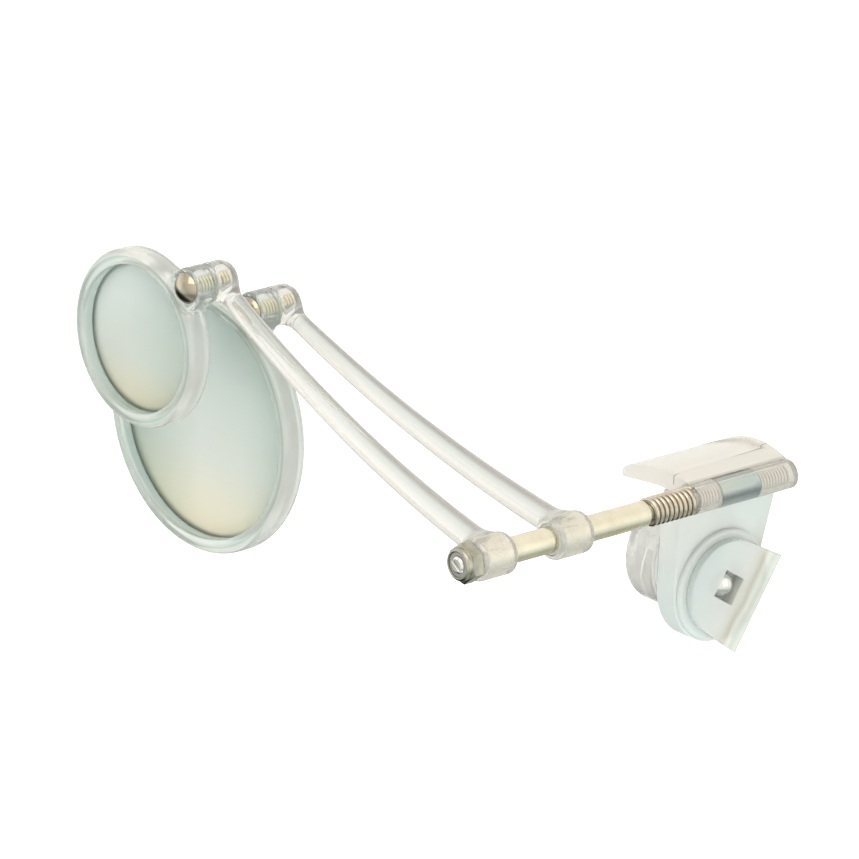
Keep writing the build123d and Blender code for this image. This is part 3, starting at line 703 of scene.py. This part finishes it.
def shade_lever(made):
    """Painted streaks of light and shade across the lever, towards its straight end."""
    tree, _, where = parts_of(made)
    turn = radians(lever_angle)
    reach = lever_reach * MM
    along = along_way(tree, where, cam_axis, (0.0, cos(turn), sin(turn)))
    drift = spread(tree, noise(tree, where, 260.0, 5.0), -0.8 * MM, 0.8 * MM)
    added = tree.nodes.new("ShaderNodeMath")
    added.operation = "ADD"
    tree.links.new(along, added.inputs[0])
    tree.links.new(drift, added.inputs[1])
    stops = [
        (0.0, (0.88, 0.95, 0.96)),
        (0.35, (0.96, 1.0, 1.0)),
        (0.6, white),
        (0.7, (0.95, 0.93, 0.88)),
        (0.78, (0.76, 0.73, 0.65)),
        (0.84, (1.0, 0.98, 0.94)),
        (0.9, (0.80, 0.82, 0.77)),
        (1.0, (0.96, 0.98, 0.96)),
    ]
    return shade(made, mapped(tree, added.outputs["Value"], -reach, reach), stops)


def paint_ledge_shadow(made):
    """Painted shadow line where the pad's hollow ends, seen through the top of the jaw."""
    tree, _, where = parts_of(made)
    across = along_way(tree, where, (ledge_shadow_x, 0.0, 0.0), (1.0, ledge_shadow_slant, 0.0))
    height = along_way(tree, where, (0.0, 0.0, jaw_high[2] - ledge_shadow_depth), (0.0, 0.0, 1.0))
    stops = [(0.0, white), (0.38, white), (0.47, (0.42, 0.40, 0.34))]
    stops += [(0.53, (0.42, 0.40, 0.34)), (0.62, white), (1.0, white)]
    top = mapped(tree, height, -0.1 * MM, 0.1 * MM)
    return shade(made, mapped(tree, across, -0.5 * MM, 0.5 * MM), stops, top)


frosted_tints = (0.90, 0.915, 0.88), (0.75, 0.86, 0.85)
jaw_tints = (0.99, 0.965, 0.915), (0.965, 0.955, 0.91)
arm_tints = (0.985, 0.97, 0.945), (0.95, 0.96, 0.94)
rim_tints = (0.985, 0.99, 0.97), (0.89, 0.955, 0.935)
frosted_plastic = clear_round(
    moulded_plastic("frosted_plastic", *frosted_tints, 0.4, 0.45, 0.4, 75.0),
    rod,
    knuckle_clear,
    0.35,
    0.45,
)
jaw_plastic = clear_round(
    moulded_plastic("jaw_plastic", *jaw_tints, 0.4, 0.22), rod, knuckle_clear, 0.4, 0.22
)
arm_plastic = {
    node: clear_round(
        moulded_plastic(node + "_plastic", *arm_tints, 0.74, 0.05),
        pivot,
        ear_clear,
        0.74,
        0.05,
        0.86,
    )
    for node, pivot in (("front_arm", front_pivot), ("rear_arm", rear_pivot))
}
rim_plastic = {
    node: clear_round(
        moulded_plastic(node + "_plastic", *rim_tints, 0.66, 0.05),
        pivot,
        ear_clear,
        0.66,
        0.05,
        0.86,
    )
    for node, pivot in (("small_lens_rim", front_pivot), ("large_lens_rim", rear_pivot))
}
shaft_metal = shaft_look()


for node, lens in (("small_lens_rim", "small_lens"), ("large_lens_rim", "large_lens")):
    # Painted light and shade bands on the rims
    shade_rim(rim_plastic[node], lens)
shade_knuckle(frosted_plastic)
# Painted streaks of light and shade on the lever
shade_lever(lever_plastic)
# Painted shadow line across the jaw's top
paint_ledge_shadow(jaw_plastic)


def lens_material(name, node, shades):
    """Lens: pale blue-green, with painted light and shade: cream at its foot, darker towards its
    top, shaded across, and a dark line of painted shade round its edge.
    """
    made, tree, shader, where = material(name)
    low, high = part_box(node)
    radius = (high[2] - low[2]) / 2
    split = tree.nodes.new("ShaderNodeSeparateXYZ")
    tree.links.new(where, split.inputs["Vector"])
    # Pale blue-green tint, with painted light and shade: cream low down, darker towards the top
    tint_and_painted_light = [
        (0.0, (0.99, 0.94, 0.74)),
        (0.16, (0.94, 0.92, 0.78)),
        (0.36, (0.86, 0.90, 0.86)),
        (0.7, (0.82, 0.90, 0.87)),
        (1.0, (0.74, 0.85, 0.83)),
    ]
    height = mapped(tree, split.outputs["Z"], low[2], high[2])
    tree.links.new(ramp(tree, height, tint_and_painted_light), shader.inputs["Base Color"])
    # Painted shade across the lens, from side to side
    shade(made, mapped(tree, split.outputs["X"], low[0], high[0]), shades)
    out = axis_distance(tree, where, (np.array(low) + np.array(high)) / 2 / MM)
    inner = radius - (lens_bite + lens_shade_width) * MM
    edge = mapped(tree, out, inner, radius - lens_bite * MM)
    # Dark line of painted shade round the lens edge, where it sits in the rim
    mix_in(made, (0.36, 0.43, 0.37), edge, "MIX")
    fine = noise(tree, where, 60.0, 2.0)
    tree.links.new(spread(tree, fine, 0.3, 0.4), shader.inputs["Roughness"])
    shader.inputs["IOR"].default_value = 1.49
    shader.inputs["Transmission Weight"].default_value = 0.6
    shader.inputs["Coat Weight"].default_value = 0.6
    shader.inputs["Coat Roughness"].default_value = 0.03
    return made


# Painted shade across each lens, from side to side
painted_shade_one_side = [(0.0, white), (0.4, white), (0.8, (0.84, 0.89, 0.87)), (1.0, (0.9, 0.93, 0.92))]
painted_shade_two_sides = [
    (0.0, (0.58, 0.68, 0.64)),
    (0.25, (0.80, 0.86, 0.83)),
    (0.5, white),
    (0.75, (0.96, 0.98, 0.97)),
    (1.0, (0.76, 0.84, 0.81)),
]
lens_looks = {
    "small_lens": lens_material("small_lens_look", "small_lens", painted_shade_one_side),
    "large_lens": lens_material("large_lens_look", "large_lens", painted_shade_two_sides),
}


def paint(made, look):
    """Gives an object one material."""
    made.data.materials.clear()
    made.data.materials.append(look)
    return made


def paint_cad(node, look):
    """Gives a carried-over CAD node a better material in its own slots."""
    for slot in frame["nodes"][node].material_slots:
        slot.material = look


def finish_piece(made, look, body, slot, *nodes):
    """Material, body and the CAD nodes that a piece stands for; its slot is not used."""
    paint(made, look)
    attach(made, body)
    if nodes:
        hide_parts(*nodes)
    return made


def make_arm(node, y, pivot, bow, body):
    """Sleeve, tapered and gently bent bar, and pivot barrel, melted into one moulding."""
    low, high = box_mm(node)
    hub = np.array([rod[0], y, rod[2]])
    reach = float(np.hypot(pivot[0] - hub[0], pivot[2] - hub[2]))
    lift = atan2(pivot[2] - hub[2], hub[0] - pivot[0])
    sleeve_half = (high[1] - low[1]) / 2
    start, end = np.array([0.0, arm_rise]), np.array([reach, -arm_tip_drop])
    middle = (start + end) / 2 - np.array([0.0, bow])
    half_span = np.linalg.norm(end - start) / 2
    across = np.array([start[1] - end[1], reach]) / np.hypot(start[1] - end[1], reach)
    sag = np.dot((start + end) / 2 - middle, across)
    bend_radius = (half_span**2 + sag**2) / (2 * sag)
    centre = (start + end) / 2 + across * (bend_radius - sag)
    ear_front = -joint_stand + ear_gap / 2
    ear_back = boss_back

    def field(p):
        u, v, w = p[..., 0], p[..., 1], p[..., 2]
        off = np.hypot(u - centre[0], v - centre[1]) - bend_radius
        share = np.clip(u / reach, 0.0, 1.0)
        bar = np.hypot(off, w) - arm_root_radius - (arm_tip_radius - arm_root_radius) * share
        bar = np.maximum(bar, np.maximum(-u, u - reach))
        sleeve = barrel(
            p, (0, 0, 0), 2, sleeve_radius, -sleeve_half, sleeve_half, *sleeve_rounding
        )
        ear = barrel(p, (reach, 0, 0), 2, pivot_radius, ear_front, ear_back, *ear_rounding)
        whole = smooth_union(smooth_union(bar, sleeve, arm_melt), ear, arm_melt)
        out = np.hypot(u - reach, v)
        screw = np.maximum(out - thread_crest - arm_screw_room, w - ear_front - screw_bite)
        flat = np.where(u > reach / 2, ear_front - w, -1.0)
        bore = shaft_radius - 0.01 - np.hypot(u, v)
        seat = np.minimum(bush_radius - np.hypot(u, v), bush_depth - w - sleeve_half)
        return np.maximum.reduce([whole, bore, seat, -screw, flat])

    edge = 2.6
    made = surface(
        node + "_smooth",
        field,
        (-edge, -edge, -sleeve_half - 0.3),
        (reach + edge, edge, sleeve_half + 0.3),
        cell,
    )
    placed(made, hub, (-cos(lift), 0, sin(lift)), (sin(lift), 0, cos(lift)), (0, 1, 0))
    return finish_piece(made, arm_plastic[node], body, "clear_plastic", node)


def make_rim(node, lens, pivot, body):
    """Rounded rim with its lens groove, melted by a web into the ear that carries it."""
    low, high = box_mm(lens)
    centre = (low + high) / 2
    edge_radius = (high[2] - low[2]) / 2
    rim_low, rim_high = box_mm(node)
    centre[1] = (rim_low[1] + rim_high[1]) / 2
    aperture = edge_radius - lens_bite
    reach = float(np.hypot(pivot[0] - centre[0], pivot[2] - centre[2]))
    way = ((pivot[0] - centre[0]) / reach, 0.0, (pivot[2] - centre[2]) / reach)
    middle = aperture + rim_width / 2
    half = rim_depth / 2
    neck_start = sqrt(middle**2 - web_root_half**2)
    lean = atan2(web_root_half - web_tip_half, reach - neck_start)

    def field(p):
        x, y, z = p[..., 0], p[..., 1], p[..., 2]
        out = np.hypot(x, y)
        outer = rounded_box_2d(out - middle, z, rim_width / 2, half, rim_rounding[0])
        inner = rounded_box_2d(out - middle, z, rim_width / 2, half, rim_rounding[1])
        ring = np.where(out > middle, outer, inner)
        side = (np.abs(y) - web_tip_half) * cos(lean) - (reach - x) * sin(lean)
        plan = np.maximum(np.maximum(side, neck_start - x), np.maximum(x - reach, middle - out))
        web = rounded_box_2d(plan + 1.0, z, 1.0, half - web_inset, web_corner)
        ear = barrel(p, (reach, 0, 0), 2, pivot_radius, -half, half, *rim_ear_rounding)
        whole = smooth_union(smooth_union(ring, web, web_melt), ear, rim_melt)
        whole = np.maximum(whole, np.abs(z) - half)
        sides = np.abs(z - lens_set_back) - lens_edge / 2 - groove_gap
        groove = np.maximum(out - edge_radius - groove_gap, sides)
        hole = np.hypot(x - reach, y) - thread_crest - rim_screw_room
        return np.maximum.reduce([whole, -groove, -hole, aperture - out])

    edge = 2.4
    made = surface(
        node + "_smooth",
        field,
        (-middle - edge, -middle - edge, -half - 0.3),
        (reach + edge, middle + edge, half + 0.3),
        rim_cell,
    )
    placed(made, centre, way, (way[2], 0, -way[0]), (0, 1, 0))
    return finish_piece(made, rim_plastic[node], body, "clear_plastic", node)


def make_screw(node, pivot, body):
    """Pivot screw: polished dome over a threaded shank."""
    low, high = box_mm(node)
    radius = (high[0] - low[0]) / 2
    apex = low[1]
    curve = (radius**2 + head_rise**2) / (2 * head_rise)
    dome = [
        (apex + curve * (1 - cos(a)), curve * sin(a))
        for a in np.linspace(0.02, atan2(radius, curve - head_rise), 24)
    ]
    seat = apex + head_rise
    head = [*dome, (seat + 0.05, radius), (seat + 0.3, radius)]
    head += [(seat + 0.34, 0.55), (seat + 0.5, 0.5)]
    made = lathe(node + "_head", head, pivot)
    finish_piece(made, head_look(node + "_look", pivot, radius), body, "polished_steel", node)
    back = high[1] - 0.02
    name = node + "_thread"
    shank = thread(name, pivot, seat + 0.34, back, thread_crest, thread_root, screw_pitch)
    # Gold threads, with painted shade down their grooves
    gold, groove = (0.93, 0.83, 0.52), (0.16, 0.15, 0.09)
    look = thread_look(name + "_look", gold, groove, pivot, thread_root, thread_crest)
    finish_piece(shank, look, body, "polished_steel")
    return made


def make_shaft():
    """Shaft: slotted stud, plated bar, and the thinner rod with its two threaded stretches."""
    front, back = shaft_low[1], shaft_high[1]
    stud_back = front_arm_y - sleeve_half_length
    tip_back = front + stud_tip_length

    def tip_field(p):
        x, y, z = p[..., 0], p[..., 1] - front, p[..., 2]
        out = np.hypot(x, z)
        stud = np.maximum.reduce([out - stud_radius, -y, y - stud_tip_length])
        stud = np.maximum(stud, (out - y - stud_radius + stud_chamfer) * sqrt(0.5))
        across = np.abs(x * sin(stud_slot_turn) - z * cos(stud_slot_turn)) - stud_slot_half
        return np.maximum(stud, -np.maximum(across, y - stud_slot_depth))

    edge = stud_radius + 0.1
    tip = surface(
        "stud_tip", tip_field, (-edge, front - 0.1, -edge), (edge, tip_back + 0.1, edge), tip_cell
    )
    placed(tip, (rod[0], 0.0, rod[2]), (1, 0, 0), (0, 1, 0), (0, 0, 1))
    finish_piece(tip, stud_metal, "clip", "plated_steel", "shaft")
    body = [
        (tip_back, 0.2),
        (tip_back, stud_radius),
        (stud_back, stud_radius),
        (stud_back, shaft_radius - 0.05),
        (stud_back + 0.05, shaft_radius),
        (shoulder_y - 0.1, shaft_radius),
        (shoulder_y, shaft_radius - 0.1),
        (shoulder_y, rod_radius - 0.2),
    ]
    finish_piece(lathe("shaft_bar", body, rod), shaft_metal, "clip", "plated_steel", "shaft")
    body = [(shoulder_y - 0.1, 0.2), (shoulder_y - 0.1, rod_radius - 0.1), (shoulder_y, rod_radius)]
    for start, end in threaded_stretches:
        for i in range(int((end - start) / thread_pitch)):
            crest = start + i * thread_pitch
            body.append((crest, rod_radius))
            body.append((crest + thread_pitch * 0.35, rod_radius))
            body.append((crest + thread_pitch * 0.6, rod_radius - thread_depth))
            body.append((crest + thread_pitch * 0.8, rod_radius - thread_depth))
        body.append((end, rod_radius))
    body += [(back - 0.2, rod_radius), (back, rod_radius - 0.2), (back, 0.1)]
    made = lathe("shaft_rod", body, rod, 96, 1, 22.0)
    root = rod_radius - thread_depth
    # Bright rod, with painted shade down its thread grooves
    look = thread_look("bright_rod", (0.93, 0.93, 0.90), (0.25, 0.25, 0.22), rod, root, rod_radius)
    return finish_piece(made, look, "clip", "plated_steel", "shaft")


def make_nut():
    """Lock nut: a chamfered hexagon under a rolled collar."""
    low, high = box_mm("end_nut")
    front, back = low[1], high[1]
    hex_front = front + nut_collar_height

    def field(p):
        x, y, z = p[..., 0], p[..., 1], p[..., 2]
        out = np.hypot(x, z)
        flats = [
            np.abs(x * cos(a) + z * sin(a)) for a in radians(nut_turn) + np.arange(3) * pi / 3
        ]
        hexagon = np.maximum(np.maximum.reduce(flats) - nut_half_flats, y - back)
        hexagon = np.maximum(hexagon, hex_front - y)
        slope = (y - hex_front) * nut_chamfer_slope
        chamfer = (out - nut_half_flats - slope - nut_chamfer_start) * nut_chamfer_scale
        hexagon = np.maximum(hexagon, chamfer)
        middle, half = (front + back) / 2, (back - front) / 2
        collar = rounded_box_2d(out, y - middle, nut_collar_radius, half, nut_collar_rounding)
        whole = smooth_union(hexagon, collar, nut_melt)
        seat = np.maximum(out - nut_ring_radius, y - front - nut_ring_depth)
        bore = stud_radius + 0.02 - out
        return np.maximum.reduce([whole, front - y, -seat, bore])

    edge = nut_half_flats / cos(pi / 6)
    made = surface("end_nut_smooth", field, (-edge, front, -edge), (edge, back, edge), nut_cell)
    placed(made, (rod[0], 0.0, rod[2]), (1, 0, 0), (0, 1, 0), (0, 0, 1))
    return finish_piece(made, nut_metal, "clip", "nut_steel", "end_nut")


def make_cam_screw():
    """Screw across the cam: a polished dome over a plain shank."""
    low, high = box_mm("cam_screw")
    seat = high[0] - cam_head_height
    apex = seat + cam_dome_height
    curve = (cam_head_radius**2 + cam_dome_height**2) / (2 * cam_dome_height)
    lean = atan2(cam_head_radius, curve - cam_dome_height)
    dome = [(apex - curve * (1 - cos(a)), curve * sin(a)) for a in np.linspace(0.02, lean, 24)]
    outline = [*dome, (seat, screw_radius), (low[0] + 0.1, screw_radius)]
    outline.append((low[0], screw_radius - 0.1))
    made = lathe("cam_screw_smooth", outline, cam_axis, 72, 0, 50.0)
    return finish_piece(made, dome_metal, "cam", "polished_steel", "cam_screw")


def make_bush(node, y, body):
    """Bush in the front end of a sleeve."""
    low, _ = box_mm(node)
    front = low[1] + 0.05
    back = front + bush_depth - 0.25
    inner, outer = shaft_radius + 0.02, bush_radius - 0.02
    outline = [(front, inner), (front, outer - 0.06), (front + 0.06, outer)]
    outline += [(back, outer), (back, inner)]
    made = tube_ring(node + "_ring", outline, (rod[0], y, rod[2]))
    return finish_piece(made, nylon, body, "nylon", node)


def make_lens(node, body):
    """Lens, bulging on both faces inside its flat edge."""
    low, high = box_mm(node)
    centre = (low + high) / 2
    edge = (high[2] - low[2]) / 2
    clear = edge - crown_margin
    half = lens_edge / 2
    crown = (high[1] - low[1]) / 2 - half
    curve = (clear**2 + crown**2) / (2 * crown)
    tilt = np.linspace(0.004, asin(clear / curve), 40)
    front = [(centre[1] - half - crown + curve * (1 - cos(a)), curve * sin(a)) for a in tilt]
    back = [(2 * centre[1] - along, out) for along, out in reversed(front)]
    inner = edge - edge_break
    flat = [(centre[1] - half, inner), (centre[1] - half + edge_break, edge)]
    flat += [(centre[1] + half - edge_break, edge), (centre[1] + half, inner)]
    made = lathe(node + "_smooth", front + flat + back, centre, 160)
    return finish_piece(made, lens_looks[node], body, "lens_plastic", node)


make_arm("front_arm", front_arm_y, front_pivot, front_arm_sag, "front_swing_arm")
make_arm("rear_arm", rear_arm_y, rear_pivot, rear_arm_sag, "rear_swing_arm")
make_bush("front_liner", front_arm_y, "front_slider")
make_bush("rear_liner", rear_arm_y, "rear_slider")
make_lens("small_lens", "small_loupe")
make_lens("large_lens", "large_loupe")
make_rim("small_lens_rim", "small_lens", front_pivot, "small_loupe")
make_rim("large_lens_rim", "large_lens", rear_pivot, "large_loupe")
make_screw("small_pivot_screw", front_pivot, "front_swing_arm")
make_screw("large_pivot_screw", rear_pivot, "rear_swing_arm")
make_shaft()
make_nut()
make_cam_screw()


# Closing spring, at the real wire's thickness
def make_spring():
    """Torsion spring as one tube along a worked-out centreline, thinning into its two legs."""
    low, high = box_mm("jaw_spring")
    front = low[1] + spring_leg + 0.1
    back = high[1] - spring_leg - 0.1
    pitch_angle = atan2((back - front - 0.9) / spring_turns, 2 * pi * spring_mean)
    around, along, heading = radians(-90.0), shoulder_y - 0.04, pi / 2
    path = []
    while along < high[1] - 1e-6 and len(path) < 4000:
        path.append((around, along))
        if along < front - 0.1:
            heading = pi / 2
        elif along < back - 0.2:
            heading = max(pitch_angle, heading - spring_step / spring_bend)
        else:
            heading = min(pi / 2, heading + spring_step / spring_bend)
        around -= cos(heading) * spring_step / spring_mean
        along += sin(heading) * spring_step
    points = [
        np.array([rod[0] + spring_mean * cos(a), y, rod[2] + spring_mean * sin(a)])
        for a, y in path
    ]
    stations = (shoulder_y + 0.1, shoulder_y + 0.4, hinge_front - 0.2, hinge_front)
    full = spring_wire / 2
    rings = []
    for i, point in enumerate(points):
        way = points[min(i + 1, len(points) - 1)] - points[max(i - 1, 0)]
        way = way / np.linalg.norm(way)
        out = point - np.array([rod[0], point[1], rod[2]])
        out = out / np.linalg.norm(out)
        side = np.cross(way, out)
        side /= np.linalg.norm(side)
        out = np.cross(side, way)
        angles = np.arange(spring_sides) * 2 * pi / spring_sides
        thick = np.interp(point[1], stations, (spring_leg_radius, full, full, spring_leg_radius))
        rings.append([point + thick * (cos(a) * out + sin(a) * side) for a in angles])
    made = grid_mesh("jaw_spring_wire", rings)
    tidy_mesh(made, 70.0)
    return finish_piece(made, spring_metal, "clip", "spring_steel", "jaw_spring")


make_spring()

# Looks of the pieces whose shape is the CAD's own
# The nut's insert gets painted shade of its recess
paint_cad("nut_insert", insert_painted_shade)
paint_cad("cam_nut", nut_metal)
paint_cad("cam_washer", nylon)
paint_cad("clip_plate", frosted_plastic)
paint_cad("support_cam", cam_plastic)
paint_cad("top_jaw", jaw_plastic)
paint_cad("cam_knob", lever_plastic)
for node in ("small_pivot_washer", "large_pivot_washer"):
    paint_cad(node, nylon)


# Stage: white all round, with the light kept soft and the floor well below, in metres
light_target = (-0.015, -0.02, 0.005)
light_distance = 0.5
floor_half, floor_height = 3, -0.075


def make_world():
    """White for the camera alone: a softer room, dark low down, lights it and shows in gloss."""
    world = bpy.data.worlds.new("white_room")
    world.use_nodes = True
    bpy.context.scene.world = world
    tree = world.node_tree
    tree.nodes.clear()
    where = tree.nodes.new("ShaderNodeTexCoord")
    split = tree.nodes.new("ShaderNodeSeparateXYZ")
    tree.links.new(where.outputs["Generated"], split.inputs["Vector"])
    height = mapped(tree, split.outputs["Z"], -1.0, 1.0)
    room = ramp(
        tree,
        height,
        [
            (0.0, (0.50, 0.58, 0.57)),
            (0.10, (0.50, 0.52, 0.48)),
            (0.17, (0.44, 0.42, 0.36)),
            (0.26, (0.68, 0.77, 0.75)),
            (0.36, (0.91, 0.94, 0.91)),
            (0.50, (0.98, 0.96, 0.91)),
            (0.66, (1.0, 0.95, 0.87)),
            (1.0, (1.0, 0.98, 0.94)),
        ],
    )
    seen = tree.nodes.new("ShaderNodeBackground")
    seen.inputs["Color"].default_value = (1.0, 1.0, 1.0, 1.0)
    around = tree.nodes.new("ShaderNodeBackground")
    toward = tree.nodes.new("ShaderNodeVectorMath")
    toward.operation = "DOT_PRODUCT"
    toward.inputs[1].default_value = (-0.55, -0.2, -0.81)
    tree.links.new(where.outputs["Generated"], toward.inputs[0])
    patch = mapped(tree, toward.outputs["Value"], 0.72, 0.9, 1.0, 0.08)
    dimmed = tree.nodes.new("ShaderNodeVectorMath")
    dimmed.operation = "SCALE"
    tree.links.new(room, dimmed.inputs[0])
    tree.links.new(patch, dimmed.inputs["Scale"])
    tree.links.new(dimmed.outputs["Vector"], around.inputs["Color"])
    around.inputs["Strength"].default_value = 1.0
    path = tree.nodes.new("ShaderNodeLightPath")
    mix = tree.nodes.new("ShaderNodeMixShader")
    out = tree.nodes.new("ShaderNodeOutputWorld")
    tree.links.new(path.outputs["Is Camera Ray"], mix.inputs["Fac"])
    tree.links.new(around.outputs["Background"], mix.inputs[1])
    tree.links.new(seen.outputs["Background"], mix.inputs[2])
    tree.links.new(mix.outputs["Shader"], out.inputs["Surface"])


def make_light(name, way, side, strength, colour=white):
    """Square soft light that faces the clip from a distance of half a metre."""
    data = bpy.data.lights.new(name, "AREA")
    data.shape = "SQUARE"
    data.size = side
    data.energy = strength
    data.color = colour
    light = bpy.data.objects.new(name, data)
    bpy.context.scene.collection.objects.link(light)
    aim = Vector((np.array(way) / np.linalg.norm(way)).tolist())
    light.location = Vector(light_target) + aim * light_distance
    light.rotation_euler = aim.to_track_quat("Z", "Y").to_euler()
    return light


make_world()
make_light("key", (0.35, -0.5, 1.0), 0.4, 0.5, (1.0, 0.96, 0.9))
make_light("fill", (-0.9, -0.7, 0.3), 0.5, 0.2, (1.0, 0.97, 0.92))
make_light("side", (1.0, 0.3, 0.2), 0.4, 0.15, (0.9, 1.0, 1.0))

floor_mesh = bpy.data.meshes.new("floor")
floor_corners = [(-1, -1), (1, -1), (1, 1), (-1, 1)]
floor_mesh.from_pydata(
    [(floor_half * x, floor_half * y, floor_height) for x, y in floor_corners], [], [(0, 1, 2, 3)]
)
floor = bpy.data.objects.new("floor", floor_mesh)
bpy.context.scene.collection.objects.link(floor)
floor_look, floor_tree, floor_shader, floor_where = material("floor_paper")
floor_shader.inputs["Base Color"].default_value = (0.9, 0.9, 0.9, 1.0)
floor_shader.inputs["Roughness"].default_value = 0.9
floor_shader.inputs["Emission Color"].default_value = (1.0, 1.0, 1.0, 1.0)
floor_shader.inputs["Emission Strength"].default_value = 0.62
floor.data.materials.append(floor_look)
floor.visible_transmission = False
floor.visible_glossy = False

scene = bpy.context.scene
scene.view_settings.view_transform = "Standard"
